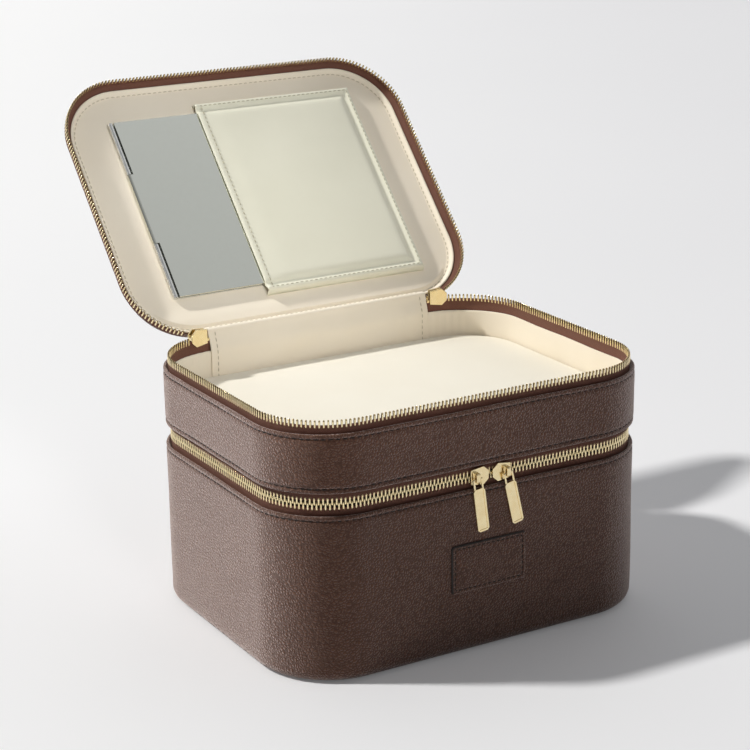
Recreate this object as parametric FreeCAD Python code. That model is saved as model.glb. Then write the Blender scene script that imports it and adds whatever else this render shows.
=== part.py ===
import FreeCAD, Part
import math
import os

"""Two-tier vanity case in leather: base, hinged tray, hinged lid, two zips and a mirror in a lid pocket.

Millimetres, +Z up, the front faces -Y. The origin is the middle of the base's underside.
Everything on the lid is drawn with the lid closed and then laid back about the lid's hinge.
"""

V = FreeCAD.Vector
Z = V(0, 0, 1)
X = V(1, 0, 0)

# Overall sizes
CASE_WIDTH = 230.0
CASE_DEPTH = 180.0
CORNER_RADIUS = 43.0
BASE_HEIGHT = 91.5
TRAY_HEIGHT = 31.5
LID_HEIGHT = 8.0
ZIP_GAP = 12.0
BOTTOM_ROUNDING = 6.0
LID_ROUNDING = 5.0
ROUNDING_STEPS = 3
LID_INSET = 6.0
LID_OPEN_ANGLE = 133.5

# Layers of a wall, from the outside in
WALL_LEATHER = 2.8
TAPE = 0.6
LINING = 0.8
LEATHER = 1.4
FLOOR_BOARD = 2.5
LID_BOARD = 3.0
LINING_DROP = 3.0
TAPE_SEWN = 8.5

# Tray floor
TRAY_FLOOR_DEPTH = 20.0
PAD_THICKNESS = 2.4
PAD_ROUNDING = 1.6
PAD_DRAW = 0.6
PAD_CLEARANCE = 0.3

# Front patch
PATCH_WIDTH = 46.0
PATCH_HEIGHT = 26.8
PATCH_THICKNESS = 0.8
PATCH_CORNER = 2.0
PATCH_DROP = 29.3

# Lid hinge
HINGE_AXIS_INSET = 3.0
HINGE_AXIS_RISE = 1.0
PANEL_FOLD_RADIUS = 2.2
PANEL_FOLD_RISE = 0.8
PANEL_FALL_ANGLE = 4.3
PANEL_REACH = 30.0

# Zip chain
CHAIN_WIDTH = 6.1
TOOTH_PITCH = 2.8
TOOTH_WIDTH = 1.15
TOOTH_THICKNESS = 2.2
TOOTH_MESH = 0.8
STOP_LENGTH = 1.6
STOP_HEIGHT = 1.7
STOP_CLEARANCE = 0.3

# Zip sliders
SLIDER_LENGTH = 10.8
SLIDER_WIDE = 10.0
SLIDER_NARROW = 8.0
SLIDER_NOSE = 4.4
SLIDER_SHOULDER = 3.2
SLIDER_PLATE = 0.9
SLIDER_CHANNEL = 2.6
FLANGE_WIDTH = 0.7
FLANGE_DEPTH = 0.6
POST_LENGTH = 4.2
POST_WIDTH = 3.2
CROWN_PLACE = 8.2
CROWN_LENGTH = 2.4
CROWN_WIDTH = 5.0
CROWN_LEG = 0.8
CROWN_SEAT = 1.0
CROWN_TUNNEL = 1.4
CROWN_BEAM = 0.7
SLIDER_PAIR_X = 2.15
SLIDER_PAIR_GAP = 2.5
SLIDER_END_GAP = 2.2

# Slider pulls
WIRE_RADIUS = 0.5
WIRE_PLAY = 0.35
LOOP_WIDTH = 5.8
LOOP_DROP = 5.3
LEG_WIDTH = 1.0
LEG_THICKNESS = 0.8
BAR_LENGTH = 24.0
BAR_WIDTH = 7.0
BAR_THICKNESS = 1.2
BAR_CORNER = 1.2
BAR_BORDER = 1.0
BAR_RECESS = 0.3
LEFT_PULL_LEAN = 7.5
RIGHT_PULL_LEAN = 13.0

# Mirror with its folding stand, and the pocket that holds it
MIRROR_WIDTH = 158.0
MIRROR_HEIGHT = 120.0
MIRROR_PLATE = 1.4
MIRROR_STAND = 1.3
MIRROR_LEAF_GAP = 0.5
MIRROR_MIDDLE = -1.0
MIRROR_SHOWN = 58.0
POCKET_LEFT = -24.0
KNUCKLE_RADIUS = 1.5
KNUCKLE_END_LENGTH = 36.0
KNUCKLE_GAP = 0.3
NOTCH_DEPTH = 3.4
PIN_RADIUS = 0.6
PIN_CLEARANCE = 0.05
POCKET_MARGIN = 6.5
POCKET_EASE = 1.5
POCKET_PLAY = 0.3
POCKET_SHEET = 0.8
HEM_WIDTH = 3.0
HEM_THICKNESS = 0.5

# Insets of the layers from the case's outer face
IN_TAPE = WALL_LEATHER
IN_TRACK = IN_TAPE + TAPE / 2
IN_LINING = IN_TAPE + TAPE
IN_ROOM = IN_LINING + LINING
IN_PAD = IN_ROOM + LINING + PAD_CLEARANCE
IN_LID_LINING = LID_INSET + LEATHER

# Levels
BASE_FLOOR = WALL_LEATHER + FLOOR_BOARD
TRAY_BOTTOM = BASE_HEIGHT + ZIP_GAP
TRAY_TOP = TRAY_BOTTOM + TRAY_HEIGHT
LID_BOTTOM = TRAY_TOP + ZIP_GAP
LID_TOP = LID_BOTTOM + LID_HEIGHT
LOWER_CHAIN = BASE_HEIGHT + ZIP_GAP / 2
UPPER_CHAIN = TRAY_TOP + ZIP_GAP / 2
HALF_CHAIN = CHAIN_WIDTH / 2
TRAY_FLOOR = TRAY_TOP - TRAY_FLOOR_DEPTH
TRAY_UNDERSIDE = TRAY_FLOOR - FLOOR_BOARD - LINING
LID_LINING_TOP = LID_TOP - LEATHER - LID_BOARD
LID_CEILING = LID_LINING_TOP - LINING

# Plan of the zip track: straight half-lengths, bend radius and lengths along it
BACK = CASE_DEPTH / 2
HINGE_HALF = CASE_WIDTH / 2 - CORNER_RADIUS
SIDE_HALF = CASE_DEPTH / 2 - CORNER_RADIUS
TRACK_RADIUS = CORNER_RADIUS - IN_TRACK
BEND = math.pi * TRACK_RADIUS / 2
TRACK_HALF = HINGE_HALF + 2 * SIDE_HALF + 2 * BEND
LID_AXIS = V(0, BACK - HINGE_AXIS_INSET, UPPER_CHAIN + HINGE_AXIS_RISE)
FAR = 2 * max(CASE_WIDTH, CASE_DEPTH)


def box(low, high):
    """Box between two corners."""
    size = high - low
    return Part.makeBox(size.x, size.y, size.z, low)


def outline(inset, level):
    """Rounded rectangle of the case's plan, moved in by inset."""
    half_x = CASE_WIDTH / 2 - inset
    half_y = CASE_DEPTH / 2 - inset
    return rounded_rectangle(half_x, half_y, CORNER_RADIUS - inset, level)


def rounded_rectangle(half_x, half_y, radius, level):
    """Rounded rectangle about the Z axis as a closed wire."""
    edges = []
    x, y = half_x - radius, half_y - radius
    corners = [(x, -y, -90), (x, y, 0), (-x, y, 90), (-x, -y, 180)]
    arcs = []
    for cx, cy, start in corners:
        points = []
        for turn in (0, 45, 90):
            angle = math.radians(start + turn)
            points.append(V(cx + radius * math.cos(angle), cy + radius * math.sin(angle), level))
        arcs.append(points)
    for here, after in zip(arcs, arcs[1:] + arcs[:1]):
        edges.append(Part.Arc(*here).toShape())
        edges.append(Part.makeLine(here[2], after[0]))
    return Part.Wire(edges)


def prism(inset, low, high):
    """The case's plan, moved in by inset, between two levels."""
    return Part.Face(outline(inset, low)).extrude(Z * (high - low))


def ring(outer, inner, low, high):
    """Wall between two insets and two levels."""
    face = Part.Face(outline(outer, low)).cut(Part.Face(outline(inner, low)))
    return face.extrude(Z * (high - low))


def edges_at(shape, level):
    """Edges that lie flat at one level."""
    flat = []
    for edge in shape.Edges:
        bounds = edge.BoundBox
        if abs(bounds.ZMin - level) < 1e-5 and abs(bounds.ZMax - level) < 1e-5:
            flat.append(edge)
    return flat


def rounded_block(inset, straight_level, flat_level, end_level):
    """The case's plan from end_level to straight_level, then rounded to a smaller face at flat_level."""
    radius = abs(flat_level - straight_level)
    side = 1 if flat_level > straight_level else -1
    wires = []
    for step in range(ROUNDING_STEPS + 1):
        turn = math.pi / 2 * step / ROUNDING_STEPS
        drawn_in = radius * (1 - math.cos(turn))
        wires.append(outline(inset + drawn_in, straight_level + side * radius * math.sin(turn)))
    low, high = sorted((straight_level, end_level))
    return prism(inset, low, high).fuse(Part.makeLoft(wires, True, True)).removeSplitter()


def ease(radius):
    """Chamfer whose flat touches a rounding of this radius at its middle."""
    return radius * (2 - math.sqrt(2))


def eased(shape, radius, level):
    """Chamfer the edges at one level in place of a rounding."""
    return shape.makeChamfer(ease(radius), edges_at(shape, level))


def section(points):
    """Closed face in the YZ plane from a list of lines and arcs given as runs of 2 or 3 points."""
    edges = []
    for run in points:
        run = [V(0, y, z) for y, z in run]
        edges.append(Part.makeLine(*run) if len(run) == 2 else Part.Arc(*run).toShape())
    return Part.Face(Part.Wire(edges))


def across_hinge(face):
    """A hinge section drawn at x = 0, run along the whole hinge."""
    solid = face.extrude(X * (2 * HINGE_HALF))
    solid.translate(X * -HINGE_HALF)
    return solid


def laid_back(shape):
    """A shape of the closed lid, turned to the open pose."""
    turned = shape.copy()
    turned.rotate(LID_AXIS, X, -LID_OPEN_ANGLE)
    return turned


def laid_back_point(y, z):
    """A point of the closed lid's section in the open pose."""
    angle = math.radians(LID_OPEN_ANGLE)
    dy, dz = y - LID_AXIS.y, z - LID_AXIS.z
    return (LID_AXIS.y + dy * math.cos(angle) + dz * math.sin(angle),
            LID_AXIS.z - dy * math.sin(angle) + dz * math.cos(angle))


def without_hinge(shape, half_width=HINGE_HALF):
    """A zip's ring with the hinge's stretch at the back left out."""
    return shape.cut(box(V(-half_width, SIDE_HALF, -FAR), V(half_width, FAR, FAR)))


def export(name, shape):
    """Write one sub-part."""
    shape.exportStep(os.path.join("parts", name + ".step"))


def base_parts():
    """Leather cup, its boards, its lining and the front patch."""
    outer = rounded_block(0, BOTTOM_ROUNDING, 0, BASE_HEIGHT)
    room = eased(prism(WALL_LEATHER, WALL_LEATHER, BASE_HEIGHT), BOTTOM_ROUNDING - WALL_LEATHER, WALL_LEATHER)
    export("base_leather_shell", outer.cut(room))
    foot = WALL_LEATHER + ease(BOTTOM_ROUNDING - WALL_LEATHER)
    export("base_floor_board", prism(foot, WALL_LEATHER, BASE_FLOOR))
    export("base_wall_board", wall_boards(BASE_FLOOR, BASE_HEIGHT - TAPE_SEWN))
    cup = prism(IN_LINING, BASE_FLOOR, BASE_HEIGHT - LINING_DROP)
    export("base_lining", cup.cut(prism(IN_ROOM, BASE_FLOOR + LINING, BASE_HEIGHT)))
    patch = cut_corner_plate(PATCH_WIDTH, PATCH_HEIGHT, PATCH_CORNER, PATCH_THICKNESS)
    patch.translate(V(0, -BACK, BASE_HEIGHT - PATCH_DROP - PATCH_HEIGHT / 2))
    export("front_patch", patch)


def cut_corner_plate(width, height, corner, thickness):
    """Upright plate with cut corners, its back at y = 0 and its face towards -Y."""
    x, z = width / 2, height / 2
    points = [(-x, z - corner), (corner - x, z), (x - corner, z), (x, z - corner),
              (x, corner - z), (x - corner, -z), (corner - x, -z), (-x, corner - z)]
    return polygon([V(px, 0, pz) for px, pz in points]).extrude(V(0, -thickness, 0))


def wall_boards(low, high):
    """Four flat boards between leather and lining, one on each straight side: the corners stay soft."""
    boards = []
    for side in (-1, 1):
        face = side * (CASE_DEPTH / 2 - IN_TAPE)
        back = side * (CASE_DEPTH / 2 - IN_LINING)
        boards.append(box(V(-HINGE_HALF, min(face, back), low), V(HINGE_HALF, max(face, back), high)))
        face = side * (CASE_WIDTH / 2 - IN_TAPE)
        back = side * (CASE_WIDTH / 2 - IN_LINING)
        boards.append(box(V(min(face, back), -SIDE_HALF, low), V(max(face, back), SIDE_HALF, high)))
    return Part.makeCompound(boards)


def tray_parts():
    """Leather band, its boards, its linings and the padded floor."""
    export("tray_leather_band", ring(0, IN_TAPE, TRAY_BOTTOM, TRAY_TOP))
    export("tray_wall_board", wall_boards(TRAY_BOTTOM + TAPE_SEWN, TRAY_TOP - TAPE_SEWN))
    export("tray_floor_board", prism(IN_LINING, TRAY_FLOOR - FLOOR_BOARD, TRAY_FLOOR))
    export("tray_underside_lining", prism(IN_LINING, TRAY_UNDERSIDE, TRAY_UNDERSIDE + LINING))
    export("tray_wall_lining", ring(IN_LINING, IN_ROOM, TRAY_FLOOR, TRAY_TOP - LINING_DROP))
    crown = TRAY_FLOOR + PAD_THICKNESS
    shoulder = crown - PAD_ROUNDING
    pad = flared(IN_PAD + PAD_DRAW, IN_PAD, TRAY_FLOOR, shoulder)
    pad = pad.fuse(flared(IN_PAD, IN_PAD + PAD_ROUNDING, shoulder, crown))
    export("tray_floor_pad", pad.removeSplitter())


def lid_parts():
    """Thin leather lid with rounded edges, its board and its flat lining."""
    outer = rounded_block(LID_INSET, LID_TOP - LID_ROUNDING, LID_TOP, LID_BOTTOM)
    room = prism(IN_LID_LINING, LID_BOTTOM, LID_TOP - LEATHER)
    room = eased(room, LID_ROUNDING - LEATHER, LID_TOP - LEATHER)
    export("lid_leather_shell", laid_back(outer.cut(room)))
    edge = IN_LID_LINING + ease(LID_ROUNDING - LEATHER)
    export("lid_board", laid_back(prism(edge, LID_LINING_TOP, LID_TOP - LEATHER)))
    export("lid_lining", laid_back(prism(IN_LID_LINING, LID_CEILING, LID_LINING_TOP)))


def hinge_parts():
    """Leather and lining strips at the back: flat under the tray, folded under the open lid."""
    low = V(-HINGE_HALF, BACK - LEATHER, BASE_HEIGHT)
    export("lower_hinge_leather", box(low, V(HINGE_HALF, BACK, TRAY_BOTTOM)))
    low = V(-HINGE_HALF, BACK - IN_ROOM, BASE_HEIGHT - LINING_DROP)
    export("lower_hinge_lining", box(low, V(HINGE_HALF, BACK - IN_TAPE, TRAY_UNDERSIDE)))

    turn = math.radians(LID_OPEN_ANGLE)
    start_y = BACK - LEATHER / 2
    end_y, end_z = laid_back_point(BACK - LID_INSET - LEATHER / 2, LID_BOTTOM)
    tangent = (end_y - start_y) / math.sin(turn)
    radius = tangent / math.tan(turn / 2)
    centre = (start_y + radius, end_z - tangent * math.cos(turn) - tangent)
    export("upper_hinge_leather", across_hinge(folded_strip(TRAY_TOP, centre, radius, LEATHER, turn, 0)))

    turn = math.radians(90 + PANEL_FALL_ANGLE)
    centre = (BACK - IN_ROOM - LINING / 2 + PANEL_FOLD_RADIUS, UPPER_CHAIN + PANEL_FOLD_RISE)
    panel = folded_strip(TRAY_FLOOR, centre, PANEL_FOLD_RADIUS, LINING, turn, PANEL_REACH)
    behind = laid_back(box(V(-FAR, -FAR, LID_CEILING), V(FAR, BACK - IN_LID_LINING, FAR)))
    export("upper_hinge_lining", across_hinge(panel).cut(behind))


def folded_strip(foot, centre, radius, thickness, turn, run):
    """Section of a strip that rises from foot, folds back by turn about centre and runs on straight."""
    cy, cz = centre

    def at(distance, angle):
        return (cy - distance * math.cos(angle), cz + distance * math.sin(angle))

    def beyond(point):
        return (point[0] + run * math.sin(turn), point[1] + run * math.cos(turn))

    near, far = radius - thickness / 2, radius + thickness / 2
    runs = [[(cy - near, foot), at(near, 0)], [at(near, 0), at(near, turn / 2), at(near, turn)]]
    if run:
        runs.append([at(near, turn), beyond(at(near, turn))])
        runs.append([beyond(at(near, turn)), beyond(at(far, turn))])
        runs.append([beyond(at(far, turn)), at(far, turn)])
    else:
        runs.append([at(near, turn), at(far, turn)])
    runs.append([at(far, turn), at(far, turn / 2), at(far, 0)])
    runs.append([at(far, 0), (cy - far, foot)])
    runs.append([(cy - far, foot), (cy - near, foot)])
    return section(runs)


def track(place):
    """Point and outward direction in degrees at a length along the track from the middle of the front."""
    length = abs(place)
    if length <= HINGE_HALF:
        x, y, out = length, SIDE_HALF * -1 - TRACK_RADIUS, -90
    elif length <= HINGE_HALF + BEND:
        turn = (length - HINGE_HALF) / TRACK_RADIUS
        x = HINGE_HALF + TRACK_RADIUS * math.sin(turn)
        y = -SIDE_HALF - TRACK_RADIUS * math.cos(turn)
        out = math.degrees(turn) - 90
    elif length <= HINGE_HALF + BEND + 2 * SIDE_HALF:
        x, y, out = HINGE_HALF + TRACK_RADIUS, length - HINGE_HALF - BEND - SIDE_HALF, 0
    else:
        turn = (length - HINGE_HALF - BEND - 2 * SIDE_HALF) / TRACK_RADIUS
        x = HINGE_HALF + TRACK_RADIUS * math.cos(turn)
        y = SIDE_HALF + TRACK_RADIUS * math.sin(turn)
        out = math.degrees(turn)
    if place < 0:
        x, out = -x, 180 - out
    return x, y, out


def on_track(shape, place, level, upward):
    """A copy of a shape drawn at the origin with Y outward, stood on the track."""
    x, y, out = track(place)
    turn = FreeCAD.Rotation(Z, out - 90)
    if not upward:
        turn = turn.multiply(FreeCAD.Rotation(V(0, 1, 0), 180))
    copy = shape.copy()
    copy.Placement = FreeCAD.Placement(V(x, y, level), turn)
    return copy


def tooth():
    """One tooth: its foot on the tape's edge, thinning to a ridge that stands past the chain's middle."""
    side, half = -TOOTH_WIDTH / 2, TOOTH_THICKNESS / 2
    face = polygon([V(side, -half, 0), V(side, half, 0), V(side, 0, HALF_CHAIN + TOOTH_MESH)])
    return face.extrude(X * TOOTH_WIDTH)


def tooth_row(level, upward, offset, end_gap, free=None):
    """Teeth along the whole track, but not within end_gap of the hinge or in the free stretch."""
    pattern = tooth()
    row = []
    count = int(TRACK_HALF / TOOTH_PITCH) + 1
    for step in range(-count, count + 1):
        place = (step + offset) * TOOTH_PITCH
        if abs(place) > TRACK_HALF - end_gap:
            continue
        if free and free[0] < place < free[1]:
            continue
        row.append(on_track(pattern, place, level, upward))
    return Part.makeCompound(row)


def stops(level, upward):
    """Metal stops on the tape's edge at both ends of a track."""
    corner = V(STOP_LENGTH / 2, TOOTH_THICKNESS / 2, 0)
    stop = box(corner * -1, corner + Z * STOP_HEIGHT)
    place = TRACK_HALF - STOP_CLEARANCE - STOP_LENGTH / 2
    return Part.makeCompound([on_track(stop, sign * place, level, upward) for sign in (-1, 1)])


def zip_parts():
    """Tapes, teeth and stops of the closed lower zip and the open upper zip."""
    lower_foot, lower_head = LOWER_CHAIN - HALF_CHAIN, LOWER_CHAIN + HALF_CHAIN
    upper_foot, upper_head = UPPER_CHAIN - HALF_CHAIN, UPPER_CHAIN + HALF_CHAIN
    export("lower_zip_tape_base",
           without_hinge(ring(IN_TAPE, IN_LINING, BASE_HEIGHT - TAPE_SEWN, lower_foot)))
    export("lower_zip_tape_tray",
           without_hinge(ring(IN_TAPE, IN_LINING, lower_head, TRAY_BOTTOM + TAPE_SEWN)))
    export("upper_zip_tape_tray",
           without_hinge(ring(IN_TAPE, IN_LINING, TRAY_TOP - TAPE_SEWN, upper_foot)))

    post_reach = SLIDER_PAIR_GAP / 2 + SLIDER_LENGTH / 2
    parted = (SLIDER_PAIR_X - post_reach, SLIDER_PAIR_X + post_reach)
    past_stop = STOP_LENGTH + STOP_CLEARANCE + TOOTH_PITCH
    export("lower_zip_teeth_base", tooth_row(lower_foot, True, 0.5, past_stop, parted))
    export("lower_zip_teeth_tray", tooth_row(lower_head, False, 0.0, past_stop, parted))
    past_slider = SLIDER_END_GAP + SLIDER_LENGTH + TOOTH_PITCH / 2
    export("upper_zip_teeth_tray", tooth_row(upper_foot, True, 0.5, past_slider))
    export("upper_zip_teeth_lid", laid_back(tooth_row(upper_head, False, 0.0, past_slider)))

    export("lower_zip_stops_base", stops(lower_foot, True))
    export("lower_zip_stops_tray", stops(lower_head, False))
    export("upper_zip_stops_tray", stops(upper_foot, True))
    export("upper_zip_tape_lid", laid_back(lid_tape(upper_head, past_slider)))


def lid_tape(edge_level, end_gap):
    """The lid's tape: sewn under the lid's rim and flared out to the track."""
    rise = LID_BOTTOM - edge_level
    rim = LID_INSET + LEATHER / 2
    half = TAPE / 2 * math.hypot(rise, rim - IN_TRACK) / rise
    tape = flared(IN_TRACK - half, rim - half, edge_level, LID_BOTTOM)
    tape = tape.cut(flared(IN_TRACK + half, rim + half, edge_level, LID_BOTTOM))
    return without_hinge(tape, HINGE_HALF + TRACK_RADIUS * math.sin(end_gap / TRACK_RADIUS))


def flared(low_inset, high_inset, low, high):
    """Solid between the case's plan at two insets and two levels."""
    return Part.makeLoft([outline(low_inset, low), outline(high_inset, high)], True, True)


def slider():
    """A slider at the origin: narrow end towards +X, outer face towards -Y, chain along X."""
    half = SLIDER_LENGTH / 2
    shoulder = SLIDER_SHOULDER - half
    corners = [V(half, 0, -SLIDER_NARROW / 2), V(half, 0, SLIDER_NARROW / 2), V(shoulder, 0, SLIDER_WIDE / 2),
               V(-half, 0, SLIDER_NOSE / 2), V(-half, 0, -SLIDER_NOSE / 2), V(shoulder, 0, -SLIDER_WIDE / 2)]
    plate = polygon(corners).extrude(V(0, SLIDER_PLATE, 0))
    inner, outer = plate.copy(), plate.copy()
    inner.translate(V(0, SLIDER_CHANNEL / 2, 0))
    outer.translate(V(0, -SLIDER_CHANNEL / 2 - SLIDER_PLATE, 0))
    pieces = [inner, outer, post()]
    for side in (-1, 1):
        rail = [(half, SLIDER_NARROW / 2), (half, SLIDER_NARROW / 2 - FLANGE_WIDTH),
                (shoulder, SLIDER_WIDE / 2 - FLANGE_WIDTH), (shoulder, SLIDER_WIDE / 2)]
        for start in (-SLIDER_CHANNEL / 2, SLIDER_CHANNEL / 2 - FLANGE_DEPTH):
            face = polygon([V(x, start, side * z) for x, z in rail])
            pieces.append(face.extrude(V(0, FLANGE_DEPTH, 0)))
    pieces.append(crown())
    solid = pieces[0]
    for piece in pieces[2:] + pieces[1:2]:
        solid = solid.fuse(piece)
    return solid.removeSplitter()


def polygon(points):
    """Flat face on straight edges."""
    return Part.Face(Part.makePolygon(points + points[:1]))


def post():
    """Wedge that parts the two rows and joins the plates, at the wide end."""
    nose = -SLIDER_LENGTH / 2
    half = POST_WIDTH / 2
    face = polygon([V(nose, -SLIDER_CHANNEL / 2, -half / 2), V(nose, -SLIDER_CHANNEL / 2, half / 2),
                    V(nose + POST_LENGTH / 3, -SLIDER_CHANNEL / 2, half),
                    V(nose + POST_LENGTH, -SLIDER_CHANNEL / 2, 0),
                    V(nose + POST_LENGTH / 3, -SLIDER_CHANNEL / 2, -half)])
    return face.extrude(V(0, SLIDER_CHANNEL, 0))


def crown():
    """Arch on the outer plate, with a tunnel along the slider for the pull's wire."""
    face = -SLIDER_CHANNEL / 2 - SLIDER_PLATE
    middle = CROWN_PLACE - SLIDER_LENGTH / 2
    near, far = middle - CROWN_LENGTH / 2, middle + CROWN_LENGTH / 2
    top = face - CROWN_SEAT - CROWN_TUNNEL - CROWN_BEAM
    block = box(V(near, top, -CROWN_WIDTH / 2), V(far, face, CROWN_WIDTH / 2))
    rims = []
    for edge in block.Edges:
        along, bounds = edge.BoundBox.XLength, edge.BoundBox
        if along > CROWN_LENGTH / 2 and bounds.YMax < face:
            rims.append(edge)
    block = block.makeFillet(CROWN_BEAM, rims)
    inside = CROWN_WIDTH / 2 - CROWN_LEG
    tunnel = box(V(near - CROWN_LEG, face - CROWN_SEAT - CROWN_TUNNEL, -inside),
                 V(far + CROWN_LEG, face - CROWN_SEAT, inside))
    return block.cut(tunnel)


def pull_pivot():
    """Where the pull's wire turns in the crown, in the slider's own frame."""
    out = SLIDER_CHANNEL / 2 + SLIDER_PLATE + CROWN_SEAT + CROWN_TUNNEL / 2
    drop = CROWN_WIDTH / 2 - CROWN_LEG - WIRE_RADIUS - WIRE_PLAY
    return V(CROWN_PLACE - SLIDER_LENGTH / 2, -out, -drop)


def pull(lean):
    """Wire loop and flat bar with a raised border, hung from the crown, leaning in the plane of the face."""
    half, back = BAR_WIDTH / 2, BAR_THICKNESS / 2
    top, foot = -LOOP_DROP, -LOOP_DROP - BAR_LENGTH
    bar = cut_corner_plate(BAR_WIDTH, BAR_LENGTH, BAR_CORNER, BAR_THICKNESS)
    bar.translate(V(0, back, (top + foot) / 2))
    bar = bar.cut(box(V(BAR_BORDER - half, -BAR_THICKNESS, foot + BAR_BORDER),
                      V(half - BAR_BORDER, BAR_RECESS - back, top - BAR_BORDER)))
    solid = bar.fuse(wire_loop(-LOOP_DROP - BAR_BORDER / 2)).removeSplitter()
    solid.rotate(V(0, 0, 0), V(0, 1, 0), -lean)
    solid.translate(pull_pivot())
    return solid


def wire_loop(foot):
    """Loop of the pull: a round wire along the X axis and a flattened leg down from each end of it."""
    reach = LOOP_WIDTH / 2
    loop = Part.makeCylinder(WIRE_RADIUS, LOOP_WIDTH, V(-reach, 0, 0), X)
    for side in (-reach, reach - LEG_WIDTH):
        loop = loop.fuse(box(V(side, -LEG_THICKNESS / 2, foot), V(side + LEG_WIDTH, LEG_THICKNESS / 2, 0)))
    return loop


def slider_parts():
    """Two sliders head to head on the closed lower zip, two at the hinge ends of the open upper zip."""
    pattern = slider()
    front = V(SLIDER_PAIR_X + SLIDER_PAIR_GAP / 2 + SLIDER_LENGTH / 2, -BACK + IN_TRACK, LOWER_CHAIN)
    left_front = V(SLIDER_PAIR_X * 2 - front.x, front.y, front.z)
    for name, place, lean in (("right", front, RIGHT_PULL_LEAN), ("left", left_front, LEFT_PULL_LEAN)):
        for piece, shape in (("slider", pattern), ("pull", pull(lean if name == "right" else -lean))):
            shape = shape.copy()
            if name == "left":
                shape = shape.mirror(V(0, 0, 0), X)
            shape.translate(place)
            export("lower_%s_%s" % (name, piece), shape)

    turn = math.degrees((SLIDER_END_GAP + SLIDER_LENGTH / 2) / TRACK_RADIUS)
    for piece, shape in (("slider", pattern), ("pull", pull(0))):
        shape = shape.copy()
        shape.rotate(V(0, 0, 0), Z, 180)
        shape.translate(V(0, TRACK_RADIUS, 0))
        shape.rotate(V(0, 0, 0), Z, -turn)
        shape.translate(V(HINGE_HALF, SIDE_HALF, UPPER_CHAIN))
        export("upper_right_" + piece, shape)
        export("upper_left_" + piece, shape.mirror(V(0, 0, 0), X))


def mirror_parts():
    """Polished plate and folded stand on one pin, lying in the pocket, and the pocket with its hem."""
    left = POCKET_LEFT - MIRROR_SHOWN
    right = left + MIRROR_WIDTH
    low, high = MIRROR_MIDDLE - MIRROR_HEIGHT / 2, MIRROR_MIDDLE + MIRROR_HEIGHT / 2
    stand_top = LID_CEILING - POCKET_PLAY
    stand_low = stand_top - MIRROR_STAND
    plate_top = stand_low - MIRROR_LEAF_GAP
    plate_low = plate_top - MIRROR_PLATE
    axis_x, axis_z = left + KNUCKLE_RADIUS, (stand_top + plate_low) / 2
    inner_low, inner_high = low + KNUCKLE_END_LENGTH, high - KNUCKLE_END_LENGTH
    bore = Part.makeCylinder(PIN_RADIUS + PIN_CLEARANCE, MIRROR_HEIGHT, V(axis_x, low, axis_z), V(0, 1, 0))

    def knuckle(start, end, leaf_low, leaf_high):
        tube = Part.makeCylinder(KNUCKLE_RADIUS, end - start, V(axis_x, start, axis_z), V(0, 1, 0))
        return tube.fuse(box(V(axis_x, start, leaf_low), V(left + NOTCH_DEPTH, end, leaf_high)))

    plate = box(V(left + NOTCH_DEPTH, low, plate_low), V(right, high, plate_top))
    plate = plate.fuse(knuckle(inner_low + KNUCKLE_GAP, inner_high - KNUCKLE_GAP, plate_low, plate_top))
    export("mirror_plate", laid_back(plate.cut(bore).removeSplitter()))
    stand = box(V(left + NOTCH_DEPTH, low, stand_low), V(right, high, stand_top))
    for start, end in ((low, inner_low), (inner_high, high)):
        stand = stand.fuse(knuckle(start, end, stand_low, stand_top))
    export("mirror_stand", laid_back(stand.cut(bore).removeSplitter()))
    pin = Part.makeCylinder(PIN_RADIUS, MIRROR_HEIGHT, V(axis_x, low, axis_z), V(0, 1, 0))
    export("mirror_hinge_pin", laid_back(pin))

    ceiling = plate_low - POCKET_PLAY
    crest = ceiling - POCKET_SHEET
    slope = POCKET_MARGIN - POCKET_EASE - POCKET_SHEET
    half = MIRROR_HEIGHT / 2 + POCKET_MARGIN
    end = right + POCKET_MARGIN
    outer = frustum(POCKET_LEFT, end, half, LID_CEILING, end - slope, half - slope, crest)
    inner = frustum(POCKET_LEFT - HEM_WIDTH, end - POCKET_SHEET, half - POCKET_SHEET, LID_CEILING,
                    end - slope - POCKET_SHEET, half - slope - POCKET_SHEET, ceiling)
    export("mirror_pocket", laid_back(outer.cut(inner)))
    hem = box(V(POCKET_LEFT, MIRROR_MIDDLE - half + slope, crest - HEM_THICKNESS),
              V(POCKET_LEFT + HEM_WIDTH, MIRROR_MIDDLE + half - slope, crest))
    export("mirror_pocket_hem", laid_back(hem))


def frustum(left, right, half, level, far_right, far_half, far_level):
    """Flat-sided solid on two rectangles that share their left side and middle line."""
    wires = []
    for end, reach, height in ((right, half, level), (far_right, far_half, far_level)):
        corners = [V(left, MIRROR_MIDDLE - reach, height), V(end, MIRROR_MIDDLE - reach, height),
                   V(end, MIRROR_MIDDLE + reach, height), V(left, MIRROR_MIDDLE + reach, height)]
        wires.append(Part.makePolygon(corners + corners[:1]))
    return Part.makeLoft(wires, True, True)


os.makedirs("parts", exist_ok=True)
base_parts()
tray_parts()
lid_parts()
hinge_parts()
zip_parts()
slider_parts()
mirror_parts()
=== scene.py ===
import math

import bmesh
import bpy
import numpy as np
from mathutils import Matrix, Vector


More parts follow.
